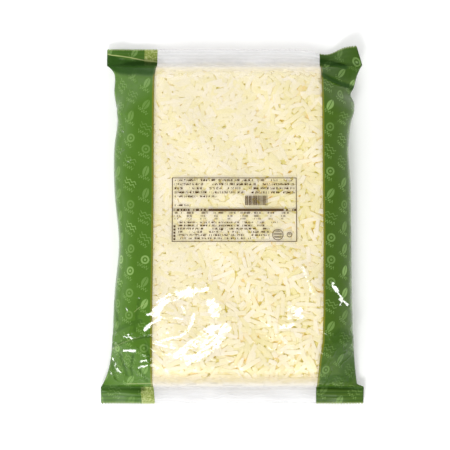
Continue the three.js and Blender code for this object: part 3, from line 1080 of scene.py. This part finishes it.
def band_marks(finish, outwards, up, side):
    """Leaves, rings and double waves on a staggered grid, each with a scribble beside it, turned by a
    random angle and as pale as its own random number says."""
    column = (outwards / MARK_ACROSS).floor()
    shifted = up / MARK_ALONG + column * 0.5
    row = shifted.floor()
    lot = finish.chance(column + side * 40 + 5, row)
    x = (outwards / MARK_ACROSS - column - 0.5) * MARK_ACROSS
    y = (shifted - row - 0.5) * MARK_ALONG
    angle = side * 1.0 - 0.5 + (finish.chance(column + 90, row + side) - 0.5) * 0.4
    sine, cosine = angle.sine(), angle.cosine()
    turned_x = x * cosine + y * sine
    turned_y = y * cosine - x * sine
    half_disc = ((abs(turned_x) + 4.6) ** 2 + turned_y * turned_y).root()
    leaf = (8.2 - half_disc).inside(0.5) * (abs(turned_x) - 0.4).inside(0.4)
    radius = (turned_x * turned_x + turned_y * turned_y).root()
    ring = (1.0 - abs(radius - 3.9)).inside(0.5) + (1.4 - radius).inside(0.5)
    crest = (turned_x * 1.05).sine() * 1.0
    wave = (0.55 - abs(abs(turned_y - crest) - 1.9)).inside(0.4) * (7.5 - abs(turned_x)).inside(0.4)
    shape = leaf * (lot < 0.42) + wave * (lot > 0.72) + ring * (lot > 0.42) * (lot < 0.72)
    curl = (turned_x * 2.3).sine() * 1.3 + (turned_x * 1.1).sine() * 0.5
    scribble = (0.6 - abs(turned_y + 7.6 - curl)).inside(0.6) * (7.5 - abs(turned_x)).inside(0.4)
    pale = finish.chance(column + 17, row + side * 9)
    return shape * (pale * 0.25 + 0.3 + (pale > 0.8) * 0.3) + scribble * 0.6


print("one mark every", MARK_ACROSS, "by", MARK_ALONG, "mm")

# %% The printed table
TABLE_LEFT, TABLE_RIGHT, TABLE_LOW, TABLE_HIGH = -68.9, 73.1, -17.2, 55.3
TABLE_LINE = 0.9
TEXT_ROWS = [  # left, right, middle of the highest row, pitch, rows, mark height
    (-66, 71, 52.3, 4.6, 4, 2.2),
    (-66, -17, 33.9, 4.6, 1, 2.0),
    (-67, -50, 24.0, 4.0, 1, 1.8),
    (-62, 54, 4.7, 3.6, 1, 1.5),
    (-62, 42, 1.1, 3.6, 5, 1.7),
]
COLUMN_ROWS = [(15.4, 1.8, 0.62, 0.8), (11.9, 2.0, 0.42, 0.65), (8.8, 1.8, 0.38, 0.55)]


def strokes(finish, x, row, mark, share):
    """Short upright strokes, a random share of them left out, as lines of small print look from afar."""
    cell = (x / mark).floor()
    return finish.chance(cell, row) < share


def table_ink(finish, x, y):
    """The border, the heavy bar, rows of strokes, a block of bars, bullets and two rings."""
    outer = boxed(x, y, TABLE_LEFT, TABLE_RIGHT, TABLE_LOW, TABLE_HIGH)
    inner = boxed(x, y, TABLE_LEFT + TABLE_LINE, TABLE_RIGHT - TABLE_LINE,
                  TABLE_LOW + TABLE_LINE, TABLE_HIGH - TABLE_LINE)
    ink = outer * (1 - inner)
    bar = boxed(x, y, TABLE_LEFT, TABLE_RIGHT, 17.3, 20.1)
    broken = 1 - (x + 26.5).inside(0.3) * (54.5 - x).inside(0.3)
    middle = (0.8 - abs(y - 18.7)).inside(0.5)
    ink = ink.most(bar * (1 - broken * middle * strokes(finish, x + 3, 5.0, 0.9, 0.5)))
    for left, right, top, pitch, rows, tall in TEXT_ROWS:
        row = ((top + pitch / 2 - y) / pitch).floor()
        inside_row = (tall / 2 - abs((top + pitch / 2 - y) - row * pitch - pitch / 2)).inside(0.4)
        block = boxed(x, y, left, right, top - (rows - 0.5) * pitch, top + pitch / 2)
        word = finish.chance((x / 7.3 + row * 0.37).floor(), row + 60) < 0.88
        worn = finish.chance((x / 0.8).floor(), (y / 0.8).floor()) < 0.75
        ink = ink.most(block * inside_row * (strokes(finish, x, row, 0.8, 0.62) * word * worn))
    for middle, tall, wide, strength in COLUMN_ROWS:
        place = x / 15.3 + 0.4
        word_wide = finish.chance(place.floor(), middle) * 0.3 + wide - 0.15
        word = ((place - place.floor()) < word_wide) * strokes(finish, x, middle, 0.8, 0.62) * strength
        ink = ink.most(boxed(x, y, -66, 68, middle - tall / 2, middle + tall / 2) * word)
    bar_cell = x / 1.45
    bar_wide = finish.chance(bar_cell.floor(), 78.0) * 0.5 + 0.42
    bars = boxed(x, y, 14.1, 39.6, 24.0, 34.8) * ((bar_cell - bar_cell.floor()) < bar_wide)
    ink = ink.most(bars)
    bullet_row = (y + 16.0) / 3.6
    bullet = 1.1 - abs((bullet_row - bullet_row.floor() - 0.5) * 3.6)
    bullets = bullet.least(1.1 - abs(x + 65.9)).inside(0.3) * boxed(x, y, -68, -60, -15.8, 2.2)
    ink = ink.most(bullets)
    dot = ((x + 12.1) ** 2 + (y + 3.2) * (y + 3.2)).root()
    ink = ink.most((1.3 - dot).inside(0.3))
    for at_x, at_y, radius in ((51.3, -9.2, 5.9), (64.5, -9.2, 2.6)):
        away = ((x - at_x) ** 2 + (y - at_y) * (y - at_y)).root()
        stripes = ((y - at_y) * (2 * math.pi / 3.4)).sine() * 0.4 - 0.1
        ink = ink.most((0.5 - abs(away - radius)).inside(0.3) * 0.8)
        ink = ink.most((radius - 1.0 - away).inside(0.3) * stripes.inside(0.4) * 0.85)
    return ink


print("the table spans", round(TABLE_RIGHT - TABLE_LEFT, 1), "by", round(TABLE_HIGH - TABLE_LOW, 1), "mm")

# %% Pale teeth and painted highlights
# creases with a painted highlight along them, in pale ink: half width and share
PAINTED_HIGHLIGHT_LINES = read_paths("""
0.5 0.85: -143.6 196.9, -139.4 195.5, -118.7 192.8, -100.3 189.2, -86.1 187.6
0.3 0.6: -120 -181.5, -104 -180.6, -91 -180
0.25 0.35: -139 -144, -131 -136.5, -122 -132, -105 -126.5
0.2 0.2: -119 -145, -125 -155, -129 -166
0.3 0.4: -111 -98, -104 -92, -97 -88
""")


def line_away(x, y, path):
    """Distance to a path of straight steps, in the shader: the least distance to any step."""
    nearest = None
    for (x0, y0), (x1, y1) in zip(path[:-1], path[1:]):
        run_x, run_y = x1 - x0, y1 - y0
        aside_x, aside_y = x - x0, y - y0
        share = (aside_x * run_x + aside_y * run_y).math("DIVIDE", run_x**2 + run_y**2, clamp=True)
        gap_x, gap_y = aside_x - share * run_x, aside_y - share * run_y
        away = (gap_x * gap_x + gap_y * gap_y).root()
        nearest = away if nearest is None else nearest.least(away)
    return nearest


def pale_teeth_and_highlights(finish, place, across, up, shown):
    """How pale the ink is: the most of pale stripes at the teeth along the cut edge and of painted highlights
    along the creases.
    """
    at_edge = (abs(up) - (HALF_LENGTH / MM - 2.4)).inside(0.8)
    teeth = ((across * (2 * math.pi * COLUMNS / 2 / (FLAT_WIDTH / MM))).cosine() * -1.0).inside(0.6)
    pale = at_edge * teeth * 0.5
    scaled = finish.node("ShaderNodeVectorMath", {"operation": "SCALE"}, {0: place, "Scale": 1 / MM})
    x, y, _ = finish.split(scaled)
    for path, half, share in PAINTED_HIGHLIGHT_LINES:
        pale = pale.most((half - line_away(x, y, path)).inside(0.5) * shown * share)
    return pale


# the pale lines are painted highlights along creases
print(len(PAINTED_HIGHLIGHT_LINES), "creases of pale ink")


# %% The colour of the ink
def ink_colour(finish, place, across, up, in_seal, crimp, tuck):
    """The ink's colour and how much it covers: bands, marks, olive edge, speckles, table, and painted light:
    shade in tucks, in crimp valleys and on the right band, and highlights along creases.
    """
    turned = (across + (ROUND - BACK_LEFT)) % ROUND
    left_band = turned.least(LEFT_BAND - turned)
    right_band = (across - WINDOW_RIGHT).least(BACK_RIGHT - across)
    band = left_band.most(right_band)
    on_left = left_band > right_band
    outwards = on_left * (LEFT_BAND - turned) + (1 - on_left) * (across - WINDOW_RIGHT)
    green = band.inside(0.3)
    bare = (BARE_INK - band).inside(0.6) * (1 - in_seal)
    eye = (turned - (LEFT_BAND - EYE_WIDE)).least(LEFT_BAND - turned).inside(0.3) * in_seal
    shown = across < FLAT_WIDTH / MM
    table = table_ink(finish, across - HALF_FILM / MM, up) * shown * (1 - green)
    # painted shade: the right band is painted darker than the left
    colour = finish.colour(GREEN_RIGHT_PAINTED_SHADE, GREEN, on_left)
    colour = finish.colour(colour, GREEN_LIGHT, band_marks(finish, outwards, up, on_left))
    colour = finish.colour(colour, OLIVE, bare)
    speckle = (finish.hills(place, 520.0, 2.0, 0.7) - 0.5) * 6 + 0.4
    colour = finish.colour(colour, finish.colour(EYE_MARK, EYE_PALE_AND_HIGHLIGHT, speckle.most(0.0)), eye)
    # painted shade: the ink is darkened in the crimp's valleys and in tucks
    painted_valley_shade = (crimp * -1.0 - 0.55).inside(0.5) * 0.45
    colour = finish.colour(colour, GREEN_PAINTED_SHADE, tuck.most(painted_valley_shade * (1 - eye)))
    # painted highlights: pale ink along the creases
    colour = finish.colour(colour, EYE_PALE_AND_HIGHLIGHT, pale_teeth_and_highlights(finish, place, across, up, shown))
    colour = finish.colour(BROWN, colour, green.most(eye))
    cover = (green * (1 - bare * 0.08)).most(eye * 0.9).most(table * 0.96)
    return colour, cover


print("in linear light the green is", np.round(GREEN[:3], 3))

# %% The film's normal
STREAKS = math.radians(35)  # which way the fine streaks in slack film run
CRIMP_PITCH = 4.6  # from ridge to ridge of the crimp, in millimetres
SLACK_FROM = 95.0  # millimetres below the middle; from there down the film is full of small creases


def film_relief(finish, place, up, in_seal):
    """The normals of the ink and of the clear film, the crimp and the lean.

    Fine wrinkles, thin crease lines and the crimp are bumps. Then both normals are turned by the
    stored lean towards the one that mirrors the light straight up, which is streaked in clear film.
    """
    wrinkles = finish.hills(place, 70.0, 3.0, 0.55)
    lines = (1 - abs(finish.hills(place, 34.0, 2.0, 0.5) * 2 - 1)) ** 10.0
    lines = lines * ((finish.hills(place, 11.0, 1.0, 0.5) - 0.46) * 6).most(0.0).least(1.0)
    slack = ((up + SLACK_FROM) * -0.025).most(0.0).least(1.0) * (1 - in_seal)
    fine = (1 - abs(finish.hills(place, 48.0, 2.0, 0.5) * 2 - 1)) ** 12.0 * slack
    waver = finish.hills(place, 40.0, 1.0, 0.5) * 2.4
    crimp = (up * (2 * math.pi / CRIMP_PITCH) + waver).sine() * in_seal
    bumped = finish.bump(wrinkles * 0.5 + lines * 0.5 + fine * 1.8 + crimp * 0.22, 0.5, 0.0009)
    x, y, _ = finish.split(place)
    u = x * math.cos(STREAKS) + y * math.sin(STREAKS)
    v = y * math.cos(STREAKS) - x * math.sin(STREAKS)
    streak = (finish.hills(finish.join(u / 5.0, v), 330.0, 3.0, 0.6) - 0.47).inside(0.18)
    lean = finish.stored("lean")
    flat = math.sin(LEAN_TILT)
    full = (flat * math.cos(TOWARDS_LIGHT), flat * math.sin(TOWARDS_LIGHT), math.cos(LEAN_TILT))
    leant = [finish.vector(bumped, full, share) for share in (lean, lean * (1 - streak * 0.3))]
    ink, clear = (finish.node("ShaderNodeVectorMath", {"operation": "NORMALIZE"}, {0: way}) for way in leant)
    return ink, clear, crimp, lean


print("leaning film is turned", round(math.degrees(LEAN_TILT), 1), "degrees from level")

# %% The ink's gloss and the clear film
FILM_GLOSS = 0.05  # both faces of the film together mirror this much of the light, seen head on
VEIL = 0.03  # and scatter this much around the mirror's way
GLINT = 0.05  # ink that leans fully mirrors this much
MIRROR = {"Base_Color": (1.0, 1.0, 1.0, 1.0), "Metallic": 1.0}
# painted light and shade: the upper end's haze is painted lighter than the lower end's, as the upper end lies
# in shade and the lower end faces the light
FILLED_HAZE = srgb(214, 204, 178), srgb(242, 235, 218)  # clouded film at the cheese's lower and upper end
SEALED_HAZE = srgb(222, 222, 224), srgb(238, 238, 240)  # and in the lower and the upper seal
# painted glow in the haze, more at the shaded upper end, in place of light that comes up from the table
HAZE_PAINTED_GLOW = srgb(36, 36, 36), srgb(70, 70, 70)  # light that comes up through it from the table
HAZE_REACH, HAZE_PEAK = 14.0, 0.78  # millimetres from a seam, and the share of haze at the seam
SEAM_HAZE = 0.37  # share of haze in the film that is creased next to a seal
DUST_REACH = 20  # cheese dust starts this far before the lower seam, in millimetres


def ink_surface(finish, colour, normal, dull, tuck, lean):
    """Glossy ink, matt where it is tucked, with a little of a mirror where it leans."""
    ink = finish.surface(Base_Color=colour, Roughness=dull, Specular_IOR_Level=0.24, Normal=normal)
    matt = finish.surface(Base_Color=colour, Roughness=0.6, Specular_IOR_Level=0.1, Normal=normal)
    glint = finish.surface(Roughness=0.15, Normal=normal, **MIRROR)
    return finish.blend(finish.blend(ink, matt, tuck * 0.85), glint, lean * GLINT)


def clear_surface(finish, place, up, normals, dull, in_seal, crimp, lean):
    """See-through film: clouded about the seams by a tent of height HAZE_PEAK, with a painted glow in the
    haze and the haze painted lighter and glowing more at the shaded upper end, and with a mirror's gloss of
    (facing^5) (1 - gloss) + gloss, which cheese dust takes away near the lower seam."""
    smooth_normal, normal = normals
    cloudy = finish.hills(place, 90.0, 2.0, 0.5)
    at_top = up > 0.0
    past_seam = abs(up) - SEAL_MM + (cloudy - 0.5) * 6 + (1 - at_top) * (SLACK_END / MM - 1)
    dusted = (past_seam + DUST_REACH).inside(16.0) * (1 - at_top) * (1 - lean)
    veil = finish.surface(Roughness=0.42, Normal=normal, **MIRROR)
    clear = finish.node("ShaderNodeBsdfTransparent", {}, {})
    clear = finish.blend(clear, veil, (1 - dusted * 0.9) * VEIL)
    filled, sealed, lift = (finish.colour(*pair, at_top) for pair in (FILLED_HAZE, SEALED_HAZE, HAZE_PAINTED_GLOW))
    haze = finish.surface(
        Base_Color=finish.colour(filled, sealed, (past_seam - 1).inside(8.0)), Roughness=0.35,
        Specular_IOR_Level=0.2, Normal=smooth_normal, Emission_Color=lift, Emission_Strength=1.0,
    )
    reach = HAZE_REACH + (1 - at_top) * (past_seam < 1.0) * 2.0
    seam = (1 - abs(past_seam - 1) / reach).most(0.0) * HAZE_PEAK
    near_seam = (past_seam + 8).inside(14.0) * (SEAM_HAZE - at_top * 0.04)
    clear = finish.blend(clear, haze, seam.most(near_seam + in_seal * crimp * 0.06) + 0.012)
    facing = finish.node("ShaderNodeLayerWeight", {}, {"Blend": 0.5, "Normal": normal}, "Facing")
    gloss = (facing ** 5.0) * (1 - FILM_GLOSS) + FILM_GLOSS
    shine = finish.surface(Roughness=dull + 0.05, Normal=normal, **MIRROR)
    return finish.blend(clear, shine, gloss * (1 - dusted * 0.95))


print(f"seen head on, clear film mirrors {FILM_GLOSS:.0%} and scatters {VEIL:.0%} of the light")

# %% The film finish
def film_finish():
    """Ink where the print covers the film, and clear film elsewhere."""
    finish = Finish(bpy.data.materials.new("printed_film"))
    u, v, _ = finish.split(finish.node("ShaderNodeUVMap", {"uv_map": "print"}, {}, "UV"))
    across, up = u * ROUND, (v - 0.5) * (BAG_LENGTH / MM)
    place, tuck = finish.place(), finish.stored("tuck")
    in_seal = (abs(up) - SEAL_MM).inside(0.4)
    dull = in_seal * 0.2 + 0.14
    *normals, crimp, lean = film_relief(finish, place, up, in_seal)
    colour, cover = ink_colour(finish, place, across, up, in_seal, crimp, tuck)
    ink = ink_surface(finish, colour, normals[0], dull, tuck, lean)
    clear = clear_surface(finish, place, up, normals, dull, in_seal, crimp, lean)
    return finish.done(finish.blend(clear, ink, cover))


film = film_finish()

# %% The pieces of the bag
printed_film = add_piece(film_mesh, film)
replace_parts(printed_film, "cheese_bag")
for mesh in [*shred_meshes, heart]:
    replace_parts(add_piece(mesh, cheese), "cheese_bag")

# %% [markdown]
# ## Floor, light and camera
#
# The bag lies on a white table that is lit a little from below, as such pictures are taken, so shadows
# stay pale. One small soft light stands past the bag's lower end and makes the glare on slack film. The
# rest comes from the surround: it is dim overhead, where the camera is, so flat film shows its deep ink,
# and bright low down on the left, so steep film carries a pale sheen. The camera looks straight down
# from far enough away that the tall bag is hardly spread by perspective.

# %% The floor
FLOOR_HALF = 6.0
FLOOR_GLOW = 0.16


def floor_finish():
    finish = Finish(bpy.data.materials.new("studio_floor"))
    place = finish.place()
    cloud = finish.hills(place, 3.0)
    paint = finish.colour(srgb(244, 244, 244), srgb(247, 247, 247), cloud)
    return finish.done(finish.surface(
        Base_Color=paint, Roughness=0.6, Specular_IOR_Level=0.1,
        Emission_Color=(1.0, 1.0, 1.0, 1.0), Emission_Strength=FLOOR_GLOW,
    ))


floor_points = np.array([[-1, -1, 0], [1, -1, 0], [1, 1, 0], [-1, 1, 0]]) * FLOOR_HALF
floor_mesh = build_mesh("studio_floor", floor_points, [np.array([[0, 1, 2, 3]])])
floor_mesh.materials.append(floor_finish())
floor = bpy.data.objects.new("studio_floor", floor_mesh)
bpy.context.scene.collection.objects.link(floor)
floor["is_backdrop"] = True
print("a floor", 2 * FLOOR_HALF, "m wide")

# %% The soft light
LIGHT_SIDE = 0.8
LIGHT_DISTANCE = 3.2
LIGHT_RADIANCE = 20.0


def soft_light(name, place, side, radiance):
    """A square of even light that faces the bag: its power is pi times its area times its radiance."""
    lamp = bpy.data.lights.new(name, "AREA")
    lamp.shape = "SQUARE"
    lamp.size = side
    lamp.energy = math.pi * side**2 * radiance
    light = bpy.data.objects.new(name, lamp)
    light.location = place
    x, y, z = place
    light.rotation_euler = (math.atan2(math.hypot(x, y), z), 0, math.atan2(y, x) + math.pi / 2)
    bpy.context.scene.collection.objects.link(light)
    print(name, "at", np.round(place, 2))


aside = LIGHT_DISTANCE * math.sin(LIGHT_ZENITH)
soft_light("soft_light", (aside * math.cos(TOWARDS_LIGHT), aside * math.sin(TOWARDS_LIGHT),
                          LIGHT_DISTANCE * math.cos(LIGHT_ZENITH)), LIGHT_SIDE, LIGHT_RADIANCE)

# %% The surround
OVERHEAD = 0.43  # brightness straight up
LOWER_DOWN = 1.4  # added at the height of the table
TOWARDS_SIDE = 0.5  # added there on the bright side, and taken off on the other
BRIGHT_SIDE = math.radians(176)


def surround():
    """Brightness: overhead, plus (1 - up) times the sum of lower_down and of towards_side times the
    way's share along the bright side."""
    sky = Finish(bpy.data.worlds.new("white_surround"))
    x, y, z = sky.split(sky.node("ShaderNodeTexCoord", {}, {}, "Generated"))
    low = 1 - z.most(0.0)
    aside = x * math.cos(BRIGHT_SIDE) + y * math.sin(BRIGHT_SIDE)
    level = low * (aside * TOWARDS_SIDE + LOWER_DOWN) + OVERHEAD
    white = {"Color": (1.0, 1.0, 1.0, 1.0), "Strength": level}
    return sky.done(sky.node("ShaderNodeBackground", {}, white), "ShaderNodeOutputWorld")


bpy.context.scene.world = surround()
bpy.context.scene.view_settings.view_transform = "Standard"

# %% The camera
CAMERA_HEIGHT = 2.4
VIEW_WIDTH = 519.75 * MM  # what the square picture spans on the floor
CAMERA_ASIDE = (-8.43 * MM, 0.2 * MM)
SENSOR = 36.0
camera_data = bpy.data.cameras.new("photo_camera")
camera_data.sensor_width = SENSOR
camera_data.lens = SENSOR * CAMERA_HEIGHT / VIEW_WIDTH
camera_data.clip_end = 50
camera = bpy.data.objects.new("photo_camera", camera_data)
camera.location = (*CAMERA_ASIDE, CAMERA_HEIGHT)
bpy.context.scene.collection.objects.link(camera)
bpy.context.scene.camera = camera
print("lens", round(camera_data.lens, 1), "mm")

# %% Sizes, and the end of the frame
visual_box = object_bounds()
boxes = {"cad": cad_box, "visual": visual_box}
boxes = {name: [[float(value) for value in corner] for corner in box] for name, box in boxes.items()}
for name, box in boxes.items():
    print("the", name, "box spans", np.round(np.ptp(box, axis=0), 4), "m")
